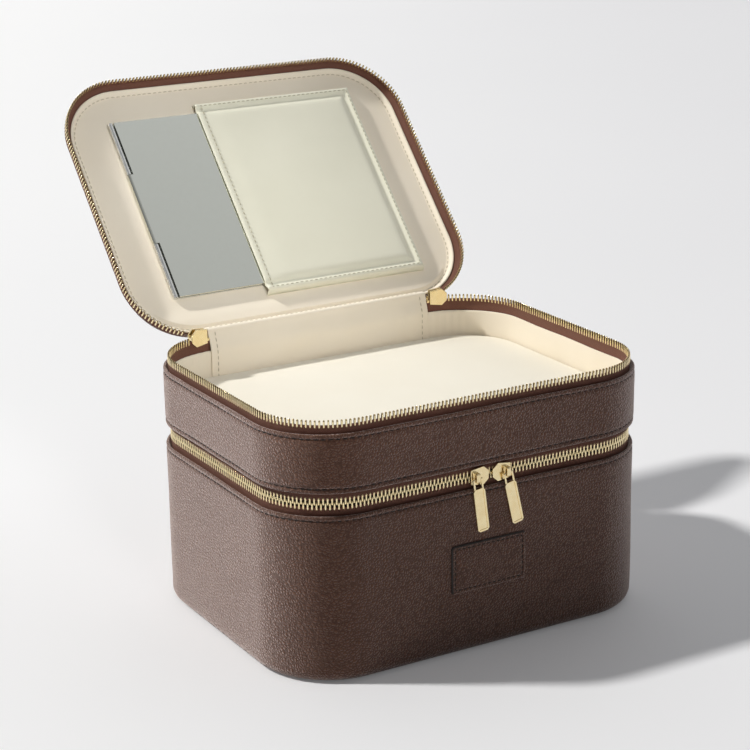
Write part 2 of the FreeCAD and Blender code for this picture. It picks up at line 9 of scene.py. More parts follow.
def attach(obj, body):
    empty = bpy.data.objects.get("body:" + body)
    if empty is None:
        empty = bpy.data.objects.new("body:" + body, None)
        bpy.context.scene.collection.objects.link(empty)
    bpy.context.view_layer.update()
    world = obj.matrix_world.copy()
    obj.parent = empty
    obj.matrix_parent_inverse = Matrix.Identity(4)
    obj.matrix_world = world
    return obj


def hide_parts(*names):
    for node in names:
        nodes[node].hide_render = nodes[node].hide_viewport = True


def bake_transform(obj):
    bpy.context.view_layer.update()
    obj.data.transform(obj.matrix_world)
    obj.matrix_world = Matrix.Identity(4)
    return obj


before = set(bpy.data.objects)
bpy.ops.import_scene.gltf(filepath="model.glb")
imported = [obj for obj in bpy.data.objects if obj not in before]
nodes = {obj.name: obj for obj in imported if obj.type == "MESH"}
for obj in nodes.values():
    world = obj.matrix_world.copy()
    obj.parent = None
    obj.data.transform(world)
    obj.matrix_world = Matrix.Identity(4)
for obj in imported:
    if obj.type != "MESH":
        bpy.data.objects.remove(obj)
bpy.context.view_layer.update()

scene = bpy.context.scene
chance = np.random.default_rng(11)

# Sizes in mm, heights with the lid shut

CORNER = 43.0
STRAIGHT_X = 72.0
STRAIGHT_Y = 47.0
BACK = STRAIGHT_Y + CORNER
HALF_ROUND = 2 * STRAIGHT_X + 2 * STRAIGHT_Y + math.pi * CORNER
HINGE_END = HALF_ROUND - STRAIGHT_X
HINGE_Y = BACK - 0.7
BASE_RIM = 91.5
TRAY_LOW = 103.5
TRAY_RIM = 135.0
LID_LOW = 147.0
LID_INSET = 6.0
LID_CEILING = 149.8
LID_AXIS_Y = 87.0
LID_AXIS_Z = 142.0
FOOT_ROUND = 6.0
WALL = 2.8
LINING_INSET = 3.8
LOWER_CHAIN = 97.5
UPPER_CHAIN = 141.0
HALF_CHAIN = 3.05
TRACK_INSET = 3.1
TAPE_TUCK = 8.5
TAPE_INNER = 3.4
TOOTH_PITCH = 2.24
RIM_STEP = 2.0
SEAM_INSET = 0.62
SEAM_DROP = 2.55
PANEL_SEAM = 68.0
DOUBLED = 0.02
WELDED = 0.01

# Metres in a mm, the lid's turn from shut, counts and shares

MM = 0.001
LID_OPEN = math.radians(133.5)
TOOTH_SIDES = 8
STRAND_SIDES = 6
STRAND_SHARES = (-1, -0.75, 0, 0.75, 1)
PANEL_STEPS = 26
SETTLE_FRAMES = 20

# Threads: pitch, length, half width and height of a stitch, and how deep it sits where that differs

RIM_THREAD = (3.7, 2.7, 0.36, 0.28)
PATCH_THREAD = (3.0, 2.1, 0.4, 0.26, 0.02)
LID_EDGE_THREAD = (3.3, 2.6, 0.34, 0.26)
LID_CLOTH_THREAD = (3.4, 2.5, 0.38, 0.34, 0.0)
POCKET_THREAD = (3.2, 2.4, 0.36, 0.3, 0.0)
PANEL_SIDE_THREAD = (3.2, 2.4, 0.34, 0.3, 0.0)
PANEL_TOP_THREAD = (3.2, 2.5, 0.28, 0.24, 0.04)


# Plan of the case

def foot(place, radius=CORNER):
    """Middle of the bend and outward angle at a length along the outline, 0 in the middle of the front."""
    bend = math.pi * radius / 2
    length = abs(place)
    side_start = STRAIGHT_X + bend
    side_end = side_start + 2 * STRAIGHT_Y
    if length <= STRAIGHT_X:
        x, y, out = length, -STRAIGHT_Y, -math.pi / 2
    elif length <= side_start:
        x, y, out = STRAIGHT_X, -STRAIGHT_Y, (length - STRAIGHT_X) / radius - math.pi / 2
    elif length <= side_end:
        x, y, out = STRAIGHT_X, length - side_start - STRAIGHT_Y, 0.0
    elif length <= side_end + bend:
        x, y, out = STRAIGHT_X, STRAIGHT_Y, (length - side_end) / radius
    else:
        x, y, out = STRAIGHT_X - (length - side_end - bend), STRAIGHT_Y, math.pi / 2
    if place < 0:
        x, out = -x, math.pi - out
    return x, y, out


def round_places(step):
    """Even places along the whole outline, the seam in the middle of the back."""
    count = int(2 * HALF_ROUND / step)
    return np.linspace(-HALF_ROUND, HALF_ROUND, count, endpoint=False)


def laid_back(points):
    """Points of the closed lid, in mm, turned back to where the open lid lies."""
    turned = np.array(points, float)
    dy, dz = turned[..., 1] - LID_AXIS_Y, turned[..., 2] - LID_AXIS_Z
    turned[..., 1] = LID_AXIS_Y + dy * math.cos(LID_OPEN) + dz * math.sin(LID_OPEN)
    turned[..., 2] = LID_AXIS_Z - dy * math.sin(LID_OPEN) + dz * math.cos(LID_OPEN)
    return turned


def arc(middle, radius, start, end, steps):
    """Points on an arc in a section, angles in degrees."""
    turns = np.radians(np.linspace(start, end, steps))
    return [(middle[0] + radius * math.cos(t), middle[1] + radius * math.sin(t)) for t in turns]


def smooth_step(value, low, high):
    """0 below low, 1 above high and an even bend between."""
    t = np.clip((np.asarray(value, float) - low) / (high - low), 0, 1)
    return t * t * (3 - 2 * t)


def lengths(line):
    """Length along a line or a section at each of its points."""
    steps = np.diff(np.array(line, float), axis=0)
    return np.concatenate([[0], np.cumsum(np.linalg.norm(steps, axis=1))])


# Meshes

def put(name, points, faces, uv=None):
    """Smooth mesh from points in mm."""
    mesh = bpy.data.meshes.new(name)
    mesh.from_pydata((np.asarray(points, float) * MM).tolist(), [], faces)
    if uv is not None:
        layer = mesh.uv_layers.new(name="cloth_mm")
        layer.data.foreach_set("uv", np.asarray(uv, np.float32).ravel())
    mesh.polygons.foreach_set("use_smooth", [True] * len(mesh.polygons))
    mesh.update()
    piece = bpy.data.objects.new(name, mesh)
    scene.collection.objects.link(piece)
    return piece


def tidy_mesh(piece):
    """Joins doubled points and turns the faces outward."""
    work = bmesh.new()
    work.from_mesh(piece.data)
    bmesh.ops.remove_doubles(work, verts=work.verts, dist=DOUBLED * MM)
    bmesh.ops.recalc_face_normals(work, faces=work.faces)
    work.to_mesh(piece.data)
    work.free()
    piece.data.update()
    return piece


def corners(rows):
    """The four corners of each square in rows of point numbers or coordinates."""
    return np.stack([rows[:-1, :-1], rows[1:, :-1], rows[1:, 1:], rows[:-1, 1:]], 2)


def grid(name, points, round_u=False, round_v=False, us=None, vs=None, caps=False):
    """Quads on rows of points in mm, with their lengths in mm as the cloth coordinates."""
    count_u, count_v = points.shape[:2]
    index = np.arange(count_u * count_v).reshape(count_u, count_v)
    rows = np.vstack([index, index[:1]]) if round_u else index
    rows = np.hstack([rows, rows[:, :1]]) if round_v else rows
    us = np.arange(rows.shape[0]) if us is None else np.resize(us, rows.shape[0])
    vs = np.arange(rows.shape[1]) if vs is None else np.resize(vs, rows.shape[1])
    cloth = np.stack(np.meshgrid(us, vs, indexing="ij"), -1)
    faces = corners(rows).reshape(-1, 4).tolist()
    uv = corners(cloth).reshape(-1, 2)
    if caps:
        faces += [index[0].tolist(), index[-1][::-1].tolist()]
        ends = np.stack([np.concatenate([us[:1].repeat(count_v), us[-1:].repeat(count_v)]),
                         np.concatenate([vs[:count_v], vs[:count_v][::-1]])], -1)
        uv = np.vstack([uv, ends])
    return tidy_mesh(put(name, points.reshape(-1, 3), faces, uv))


def around(profile, places, soft=None):
    """Points of a section of (inset, height) carried along the outline."""
    profile = np.array(profile, float)
    rows = np.zeros((len(places), len(profile), 3))
    for i, place in enumerate(places):
        x, y, out = foot(place)
        inset, height = profile[:, 0].copy(), profile[:, 1].copy()
        if soft:
            more_inset, more_height = soft(place, inset, height)
            inset, height = inset + more_inset, height + more_height
        rows[i, :, 0] = x + (CORNER - inset) * math.cos(out)
        rows[i, :, 1] = y + (CORNER - inset) * math.sin(out)
        rows[i, :, 2] = height
    return rows


def filled(rows, shares, height=None):
    """Rows whose last ring is carried on to the middle of the panel in shrinking rings."""
    edge = rows[:, -1]
    inner = []
    for share in shares:
        ring = edge * np.array([share, share, 1.0])
        if height:
            ring[:, 2] += height(ring[:, 0], ring[:, 1], share)
        inner.append(ring)
    return np.concatenate([rows, np.stack(inner, 1)], 1)


def joined(name, blocks):
    """One mesh from many small ones, each (points in mm, faces)."""
    points, faces, start = [], [], 0
    for block_points, block_faces in blocks:
        points.append(block_points)
        faces += [[start + k for k in face] for face in block_faces]
        start += len(block_points)
    return put(name, np.concatenate(points), faces)


def tube_faces(rings, sides):
    """Faces of a tube of rings of points, closed at both ends."""
    faces = []
    for ring in range(rings - 1):
        for side in range(sides):
            a, b = ring * sides + side, ring * sides + (side + 1) % sides
            faces.append([a, b, b + sides, a + sides])
    last = (rings - 1) * sides
    return faces + [list(range(sides - 1, -1, -1)), list(range(last, last + sides))]


# Stitches

def on_line(line, steps, place):
    """Point of a line at a length along it."""
    return np.array([np.interp(place, steps, line[:, c]) for c in range(3)])


def stitches(line, outward, pitch, long, wide, high, sink=0.08):
    """One bowed strand of thread for each stitch along a line of points in mm."""
    line = np.asarray(line, float)
    outward = np.broadcast_to(outward, line.shape)
    steps = lengths(line)
    turns = np.linspace(0, 2 * math.pi, STRAND_SIDES + 1)[:-1]
    faces = tube_faces(len(STRAND_SHARES), STRAND_SIDES)
    look_ahead = 0.2
    count = int(steps[-1] / pitch)
    blocks = []
    for k in range(count):
        middle = (k + 0.5) * steps[-1] / count
        points = []
        for share in STRAND_SHARES:
            place = middle + share * long / 2
            centre = on_line(line, steps, place)
            ahead = on_line(line, steps, place + look_ahead) - centre
            if np.linalg.norm(ahead) < 1e-6:
                ahead = centre - on_line(line, steps, place - look_ahead)
            ahead /= np.linalg.norm(ahead)
            up = on_line(outward, steps, place)
            up /= np.linalg.norm(up)
            across = np.cross(up, ahead)
            size = math.sqrt(max(0.0, 1.04 - share * share))
            centre = centre + up * (high * (1 - share * share) - sink)
            for t in turns:
                sideways = across * (wide * size * math.cos(t))
                points.append(centre + sideways + up * (high * size * math.sin(t)))
        blocks.append((np.array(points), faces))
    return blocks


def lid_stitches(line, outward, *thread):
    """Stitches on the laid-back lid, along a line given with the lid shut."""
    laid = laid_back(line)
    return stitches(laid, laid_back(line + outward) - laid, *thread)


def rim_line(inset, height):
    """A line round the outline at one inset and height, and its outward directions."""
    places = np.linspace(-HALF_ROUND, HALF_ROUND, int(2 * HALF_ROUND / RIM_STEP))
    points = around([(inset, height)], places)[:, 0]
    return points, around([(inset - 1, height)], places)[:, 0] - points


# Shader nodes

def material(name, base, roughness, metallic=0.0):
    """New node material with a plain start, its tree and its shader."""
    made = bpy.data.materials.new(name)
    made.use_nodes = True
    tree = made.node_tree
    shader = tree.nodes["Principled BSDF"]
    shader.inputs["Base Color"].default_value = (*base, 1)
    shader.inputs["Roughness"].default_value = roughness
    shader.inputs["Metallic"].default_value = metallic
    return made, tree, shader


def add(tree, kind, links=None, **settings):
    """New node; links feed its inputs, settings set its inputs or its values."""
    made = tree.nodes.new(kind)
    for key, value in settings.items():
        if hasattr(made, key):
            setattr(made, key, value)
        else:
            made.inputs[key.replace("_", " ")].default_value = value
    for key, source in (links or {}).items():
        tree.links.new(source, made.inputs[key])
    return made


def maths(tree, operation, links, value=None):
    """Result of a maths node, whose second input may be a plain value."""
    made = add(tree, "ShaderNodeMath", links, operation=operation)
    if value is not None:
        made.inputs[1].default_value = value
    return made.outputs[0]


def noise(tree, place, scale, detail):
    """Value of a noise texture."""
    return add(tree, "ShaderNodeTexNoise", {"Vector": place}, Scale=scale, Detail=detail).outputs["Fac"]


def own_place(tree):
    """Coordinates of the piece itself, in metres."""
    return add(tree, "ShaderNodeTexCoord").outputs["Object"]


def ramp(tree, factor, stops):
    """Colour of a ramp between (place, colour) stops."""
    made = add(tree, "ShaderNodeValToRGB", {"Fac": factor})
    band = made.color_ramp
    while len(band.elements) < len(stops):
        band.elements.new(0.5)
    for element, (place, colour) in zip(band.elements, stops):
        element.position = place
        element.color = (*colour, 1)
    return made.outputs["Color"]


def paint(tree, shader, factor, stops):
    """Ramp that feeds the shader's colour."""
    tree.links.new(ramp(tree, factor, stops), shader.inputs["Base Color"])


def shine(tree, shader, value, when_low, when_high):
    """Roughness that follows a value."""
    made = add(tree, "ShaderNodeMapRange", {"Value": value}, To_Min=when_low, To_Max=when_high)
    tree.links.new(made.outputs["Result"], shader.inputs["Roughness"])


def bump(tree, shader, height, strength, distance):
    """Bump node between a height and the shader."""
    made = add(tree, "ShaderNodeBump", {"Height": height}, Strength=strength, Distance=distance)
    tree.links.new(made.outputs["Normal"], shader.inputs["Normal"])


# Grain, weave and nap, as groups

def group(name, source, results):
    """New shader group: its tree, its one vector and its end node."""
    tree = bpy.data.node_groups.new(name, "ShaderNodeTree")
    tree.interface.new_socket(name=source, in_out="INPUT", socket_type="NodeSocketVector")
    for label in results:
        tree.interface.new_socket(name=label, in_out="OUTPUT", socket_type="NodeSocketFloat")
    return tree, tree.nodes.new("NodeGroupInput").outputs[source], tree.nodes.new("NodeGroupOutput")


def use(tree, shared, source, place):
    """Outputs of a shared group."""
    return add(tree, "ShaderNodeGroup", {source: place}, node_tree=shared).outputs


def pebble_group():
    """Height and patchiness of a fine pebbled grain, from coordinates in metres."""
    tree, place, end = group("pebble_grain", "Place", ("Height", "Patches"))
    wander = add(tree, "ShaderNodeTexNoise", {"Vector": place}, Scale=360.0, Detail=2.0)
    push = add(tree, "ShaderNodeVectorMath", {0: wander.outputs["Color"]}, operation="MULTIPLY")
    push.inputs[1].default_value = (0.0013, 0.0013, 0.0013)
    moved = add(tree, "ShaderNodeVectorMath", {0: place, 1: push.outputs[0]}, operation="ADD")
    cells = add(tree, "ShaderNodeTexVoronoi", {"Vector": moved.outputs[0]},
                feature="DISTANCE_TO_EDGE", Scale=600.0)
    domes = add(tree, "ShaderNodeMapRange", {"Value": cells.outputs["Distance"]},
                interpolation_type="SMOOTHSTEP", From_Max=0.34)
    pores = noise(tree, place, 3000.0, 3.0)
    height = maths(tree, "MULTIPLY_ADD", {0: pores, 2: domes.outputs["Result"]}, 0.16)
    tree.links.new(height, end.inputs["Height"])
    tree.links.new(noise(tree, place, 26.0, 4.0), end.inputs["Patches"])
    return tree


def weave_group():
    """Height of a close herringbone weave, from cloth coordinates in mm."""
    tree, cloth, end = group("close_weave", "Cloth", ("Height",))
    rib_pitch, thread_pitch, half_band = 0.85, 0.5, 1.9
    parts = add(tree, "ShaderNodeSeparateXYZ", {0: cloth})
    slant = maths(tree, "PINGPONG", {0: parts.outputs["Y"]}, half_band)
    along = maths(tree, "ADD", {0: parts.outputs["X"], 1: slant})
    warp = maths(tree, "MULTIPLY", {0: along}, 2 * math.pi / rib_pitch)
    weft = maths(tree, "MULTIPLY", {0: parts.outputs["Y"]}, 2 * math.pi / thread_pitch)
    ribs = maths(tree, "SINE", {0: warp})
    threads = maths(tree, "SINE", {0: weft})
    height = maths(tree, "MULTIPLY_ADD", {0: threads, 2: ribs}, 0.4)
    tree.links.new(height, end.inputs["Height"])
    return tree


def cloth_group():
    """Height and tone of a fine brushed cloth, from coordinates in metres."""
    tree, place, end = group("brushed_cloth", "Place", ("Height", "Tone"))
    nap = noise(tree, place, 2400.0, 3.0)
    creases = noise(tree, place, 70.0, 3.0)
    height = maths(tree, "MULTIPLY_ADD", {0: creases, 2: nap}, 0.6)
    tree.links.new(height, end.inputs["Height"])
    tree.links.new(noise(tree, place, 18.0, 5.0), end.inputs["Tone"])
    return tree


pebble_grain = pebble_group()
close_weave = weave_group()
brushed_cloth = cloth_group()


# Materials

def leather_material():
    """Pebbled leather, darker in its creases, with a soft sheen."""
    made, tree, shader = material("brown_pebbled_leather", (0.15, 0.09, 0.075), 0.46)
    grain = use(tree, pebble_grain, "Place", own_place(tree))
    height = grain["Height"]
    tone = ramp(tree, height, [(0.05, (0.07, 0.025, 0.011)), (0.5, (0.135, 0.052, 0.025)),
                               (1.0, (0.152, 0.061, 0.03))])
    patches = ramp(tree, grain["Patches"], [(0.3, (0.88, 0.86, 0.85)), (0.7, (1.0, 1.0, 1.0))])
    mixed = add(tree, "ShaderNodeMix", data_type="RGBA", blend_type="MULTIPLY")
    mixed.inputs["Factor"].default_value = 1.0
    tree.links.new(tone, mixed.inputs[6])
    tree.links.new(patches, mixed.inputs[7])
    tree.links.new(mixed.outputs[2], shader.inputs["Base Color"])
    shine(tree, shader, height, 0.68, 0.44)
    shader.inputs["Specular IOR Level"].default_value = 0.1
    shader.inputs["Sheen Weight"].default_value = 1.0
    shader.inputs["Sheen Roughness"].default_value = 0.54
    shader.inputs["Sheen Tint"].default_value = (1.0, 0.87, 0.83, 1)
    bump(tree, shader, height, 0.8, 0.00034)
    return made


def cloth_material(name, light, dark, strength=0.25):
    """Brushed cloth between two near tones."""
    made, tree, shader = material(name, light, 0.82)
    nap = use(tree, brushed_cloth, "Place", own_place(tree))
    paint(tree, shader, nap["Tone"], [(0.3, dark), (0.65, light)])
    shader.inputs["Sheen Weight"].default_value = 0.15
    shader.inputs["Sheen Roughness"].default_value = 0.5
    bump(tree, shader, nap["Height"], strength, 0.0002)
    return made


def tape_material():
    """Woven zip tape."""
    made, tree, shader = material("woven_brown_tape", (0.09, 0.045, 0.035), 0.7)
    cloth = add(tree, "ShaderNodeUVMap", uv_map="cloth_mm")
    height = use(tree, close_weave, "Cloth", cloth.outputs["UV"])["Height"]
    raised = add(tree, "ShaderNodeMapRange", {"Value": height}, From_Min=-1.4, From_Max=1.4)
    paint(tree, shader, raised.outputs["Result"], [(0.1, (0.115, 0.05, 0.034)), (0.9, (0.27, 0.124, 0.088))])
    shader.inputs["Specular IOR Level"].default_value = 0.25
    bump(tree, shader, height, 0.7, 0.00012)
    return made


def thread_material(name, light, dark):
    """Twisted thread, or dark edge paint that also carries painted shade, between two near tones."""
    made, tree, shader = material(name, light, 0.55)
    twist = noise(tree, own_place(tree), 3200.0, 2.0)
    paint(tree, shader, twist, [(0.3, dark), (0.7, light)])
    bump(tree, shader, twist, 0.5, 0.0001)
    return made


def metal_material(name, light, dark, smooth, rough):
    """Metal whose tone and polish wander a little."""
    made, tree, shader = material(name, light, rough, 1.0)
    worn = noise(tree, own_place(tree), 240.0, 4.0)
    paint(tree, shader, worn, [(0.3, dark), (0.7, light)])
    shine(tree, shader, worn, smooth, rough)
    return made


def board_material():
    """Fibreboard inside the walls."""
    made, tree, shader = material("grey_fibreboard", (0.5, 0.42, 0.32), 0.85)
    fibre = noise(tree, own_place(tree), 700.0, 5.0)
    paint(tree, shader, fibre, [(0.3, (0.38, 0.31, 0.23)), (0.7, (0.55, 0.47, 0.36))])
    bump(tree, shader, fibre, 0.3, 0.0002)
    return made


def floor_material():
    """Pale floor with painted shade that darkens it towards the right in place of light falling off, and a
    faint random cloud; the camera and reflections see it a little lifted.
    """
    made, tree, shader = material("pale_studio_floor", (0.79, 0.79, 0.8), 0.75)
    place = own_place(tree)
    # Painted shade: the tone falls off towards the right along this direction.
    across = add(tree, "ShaderNodeVectorMath", {0: place}, operation="DOT_PRODUCT")
    across.inputs[1].default_value = (0.863, -0.504, 0.0)
    cloud = noise(tree, place, 1.5, 2.0)
    painted_falloff_and_cloud = maths(tree, "MULTIPLY_ADD", {0: cloud, 2: across.outputs["Value"]}, 0.15)
    side = add(tree, "ShaderNodeMapRange", {"Value": painted_falloff_and_cloud}, interpolation_type="SMOOTHSTEP",
               From_Min=-0.75, From_Max=0.8)
    tone = ramp(tree, side.outputs["Result"], [(0.0, (0.88, 0.885, 0.89)), (1.0, (0.69, 0.692, 0.71))])
    tree.links.new(tone, shader.inputs["Base Color"])
    tree.links.new(tone, shader.inputs["Emission Color"])
    path = add(tree, "ShaderNodeLightPath")
    seen = maths(tree, "MAXIMUM", {0: path.outputs["Is Camera Ray"], 1: path.outputs["Is Glossy Ray"]})
    tree.links.new(maths(tree, "MULTIPLY", {0: seen}, 0.14), shader.inputs["Emission Strength"])
    shader.inputs["Specular IOR Level"].default_value = 0.1
    return made


leather = leather_material()
# Dark edge paint, which on the patch's top and left edges is also painted shade of the slit where the patch
# stands off.
edge_paint_and_slit_shade = thread_material("dark_edge_paint_and_slit_shade", (0.022, 0.012, 0.009), (0.014, 0.008, 0.006))
lining = cloth_material("cream_lining_cloth", (0.9, 0.82, 0.68), (0.87, 0.785, 0.64))
pad_cloth = cloth_material("cream_pad_cloth", (0.85, 0.81, 0.7), (0.83, 0.785, 0.67))
pocket_cloth = cloth_material("pale_pocket_cloth", (0.78, 0.765, 0.63), (0.74, 0.725, 0.59), 0.2)
tape = tape_material()
brown_thread = thread_material("brown_thread", (0.022, 0.011, 0.008), (0.01, 0.005, 0.004))
cream_thread = thread_material("cream_thread", (0.68, 0.61, 0.48), (0.54, 0.47, 0.35))
olive_thread = thread_material("pale_olive_thread", (0.5, 0.47, 0.35), (0.4, 0.37, 0.26))
brass = metal_material("pale_gold_brass", (0.93, 0.79, 0.49), (0.86, 0.69, 0.38), 0.16, 0.27)
# Darker brass for the teeth's facing flanks: painted shade standing in for the shadow between the teeth.
shaded_flank_brass = metal_material("brass_with_painted_gap_shade", (0.16, 0.1, 0.045), (0.09, 0.055, 0.025), 0.4, 0.55)
mirror = metal_material("silvered_mirror", (0.78, 0.8, 0.73), (0.77, 0.79, 0.72), 0.03, 0.06)
satin = metal_material("satin_metal", (0.8, 0.81, 0.79), (0.74, 0.75, 0.73), 0.2, 0.32)
board = board_material()


# Finishing a piece

def finish(piece, look, body, replaces=()):
    """Gives a piece its material, its body and the nodes it stands for."""
    piece.data.materials.clear()
    piece.data.materials.append(look)
    if isinstance(body, str):
        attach(piece, body)
    else:
        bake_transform(piece)
    if replaces:
        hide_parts(*replaces)
    return piece


def thick(piece, amount):
    """Gives a single layer its thickness in mm, half to each side."""
    layer = piece.modifiers.new("thickness", "SOLIDIFY")
    layer.thickness = amount * MM
    layer.offset = 0.0
    layer.use_even_offset = True
    return piece


def on_middle(y, z):
    """Point in metres on the middle plane of the case."""
    return (0.0, y * MM, z * MM)


ACROSS_LID = ("tray", "lid", on_middle(85.4, 137), on_middle(92, 144))
ACROSS_LID_LEATHER = ("tray", "lid", on_middle(HINGE_Y, 136), on_middle(92.5, 142))
ACROSS_TRAY = ("base", "tray", on_middle(HINGE_Y, BASE_RIM), on_middle(HINGE_Y, TRAY_LOW))


# Leather

def sway(place, inset, height):
    """Small unevenness of the base's leather on its boards."""
    wave = 0.16 * np.sin(place / 23.0 + height / 31.0) + 0.12 * np.sin(place / 9.7 - height / 13.0 + 1.3)
    edge = 0.12 * np.sin(place / 17.0 + 0.6)
    return wave * smooth_step(height, 2, 14) * (inset < 1.0), edge * (height > BASE_RIM - 6)


def band_sway(place, inset, height):
    """Small unevenness of the tray's leather band."""
    wave = 0.14 * np.sin(place / 19.0 + height / 21.0) + 0.1 * np.sin(place / 8.3 - height / 9.0 + 0.4)
    edge = 0.12 * np.sin(place / 14.0 + height / 7.0)
    return wave * (inset < 1.0), edge * (np.abs(height - (TRAY_LOW + TRAY_RIM) / 2) > 11)


def turned_rim(rim, way):
    """Turned rim with its stitch furrow, from outside to inside; way is 1 at a top, -1 at a bottom."""
    section = ((0.0, 5.6), (0.03, 4.0), (0.2, 3.3), (SEAM_INSET, 2.85), (0.75, SEAM_DROP), (0.55, 2.2),
               (0.2, 1.8), (0.12, 1.3), (0.12, 0.8), (0.3, 0.3), (0.75, 0.0), (1.25, 0.05), (1.6, 0.5))
    return [(inset, rim - way * drop) for inset, drop in section]


def inner_rim(rim, way):
    """Inside of a turned rim, to the plain wall."""
    return [(WALL - 0.4, rim - way * 1.5), (WALL, rim - way * 2.5)]


def make_leather():
    """Outer leather of base, tray and lid, each a section carried round the outline."""
    places = round_places(2.4)
    plain_top = BASE_RIM - 7.5
    base = [(FOOT_ROUND + 3, 0)] + arc((FOOT_ROUND, FOOT_ROUND), FOOT_ROUND, 270, 180, 9)
    base += [(0, z) for z in np.linspace(2 * FOOT_ROUND, plain_top, 13)]
    base += turned_rim(BASE_RIM, 1) + inner_rim(BASE_RIM, 1) + [(WALL, plain_top)]
    rows = around(base, places, sway)
    bottom = [rows[:, :1] * np.array([share, share, 1.0]) for share in (0.0, 0.6)]
    rows = np.concatenate(bottom + [rows], 1)
    finish(grid("base_leather", rows, True), leather, "base", ["base_leather_shell"])

    band = turned_rim(TRAY_LOW, -1)[::-1]
    band += [(0, z) for z in np.linspace(TRAY_LOW + TAPE_TUCK, TRAY_RIM - TAPE_TUCK, 5)]
    band += turned_rim(TRAY_RIM, 1) + inner_rim(TRAY_RIM, 1) + inner_rim(TRAY_LOW, -1)[::-1]
    rows = around(band, places, band_sway)
    finish(grid("tray_leather", rows, True, True), leather, "tray", ["tray_leather_band"])

    edge = ((1.4, 3.4), (1.4, 1.6), (1.2, 0.4), (0.8, 0.0), (0.35, 0.1), (0.05, 0.5), (0.0, 1.0), (0.12, 1.5),
            (0.2, 2.0), (0.05, 2.6))
    top_round = 5.0
    lid = [(LID_INSET + inset, LID_LOW + rise) for inset, rise in edge]
    lid += arc((LID_INSET + top_round, LID_LOW + 3), top_round, 180, 90, 8)
    rows = filled(around(lid, places), (0.94, 0.8, 0.6, 0.4, 0.2, 0.0))
    finish(grid("lid_leather", laid_back(rows), True), leather, "lid", ["lid_leather_shell"])


def make_patch():
    """Front patch: a leather piece with turned edges and cut corners; returns its stitches."""
    half_x, half_z, middle, cut, seam = 23.0, 13.4, 48.8, 1.0, 2.0
    outline = [(-half_x + cut, half_z), (half_x - cut, half_z), (half_x, half_z - cut),
               (half_x, cut - half_z), (half_x - cut, -half_z), (cut - half_x, -half_z),
               (-half_x, cut - half_z), (-half_x, half_z - cut)]
    dense = []
    for (x0, z0), (x1, z1) in zip(outline, outline[1:] + outline[:1]):
        for t in np.linspace(0, 1, 12, endpoint=False):
            dense.append((x0 + (x1 - x0) * t, z0 + (z1 - z0) * t))
    dense = np.array(dense)

    def ring(shrink, rise):
        flat = dense * np.array(shrink)
        return np.column_stack([flat[:, 0], np.full(len(flat), -BACK - rise), middle + flat[:, 1]])

    section = ((0, -0.05), (0, 0.5), (0.25, 0.85), (0.8, 1.0), (1.5, 0.9), (seam, 0.72), (2.5, 0.9),
               (3.4, 1.0), (9, 1.05))
    rings = [ring((1 - inset / half_x, 1 - inset / half_z), rise) for inset, rise in section]
    rings.append(ring((0, 0), 1.05))
    piece = grid("front_patch_leather", np.stack(rings, 1), True)
    finish(piece, leather, "base", ["front_patch"])
    piece.data.materials.append(edge_paint_and_slit_shade)
    # The turned edge gets dark edge paint all round; on the top and left edges it reaches wider as painted
    # shade of the slit where the patch stands off.
    for face in piece.data.polygons:
        by_shaded_slit = face.center.x < (1.0 - half_x) * MM or face.center.z > (middle + half_z - 1.0) * MM
        painted_to = 0.96 if by_shaded_slit else 0.62
        face.material_index = int(face.center.y > -(BACK + painted_to) * MM)
    line = ring((1 - seam / half_x, 1 - seam / half_z), 0.8)
    line = np.vstack([line, line[:1]])
    return stitches(line, (0.0, -1.0, 0.0), *PATCH_THREAD)


def make_leather_stitches():
    """Brown stitching along the rims and round the patch."""
    blocks = make_patch() + stitches(*rim_line(SEAM_INSET, BASE_RIM - SEAM_DROP), *RIM_THREAD)
    finish(joined("base_stitching", blocks), brown_thread, "base")
    blocks = stitches(*rim_line(SEAM_INSET, TRAY_LOW + SEAM_DROP), *RIM_THREAD)
    blocks += stitches(*rim_line(SEAM_INSET, TRAY_RIM - SEAM_DROP), *RIM_THREAD)
    finish(joined("tray_stitching", blocks), brown_thread, "tray")
    blocks = lid_stitches(*rim_line(LID_INSET + 0.16, LID_LOW + 2.0), *LID_EDGE_THREAD)
    finish(joined("lid_edge_stitching", blocks), brown_thread, "lid")


# Zips

def tooth_block():
    """One moulded tooth from foot to head: X along the tape, Y outward, Z to the chain's middle."""
    rings = ((-0.45, 0.3, 0.45), (-0.3, 0.46, 0.66), (0.6, 0.5, 0.72), (1.6, 0.46, 0.66), (2.4, 0.48, 0.64),
             (3.3, 0.48, 0.6), (3.72, 0.36, 0.44), (3.85, 0.18, 0.22))
    squareness = 0.35
    points = []
    for z, half_x, half_y in rings:
        for t in (np.arange(TOOTH_SIDES) * 2 + 1) * math.pi / TOOTH_SIDES:
            c, s = math.cos(t), math.sin(t)
            x = math.copysign(abs(c) ** squareness, c) * half_x
            y = math.copysign(abs(s) ** squareness, s) * half_y
            points.append((x, y, z))
    return np.array(points), tube_faces(len(rings), TOOTH_SIDES)


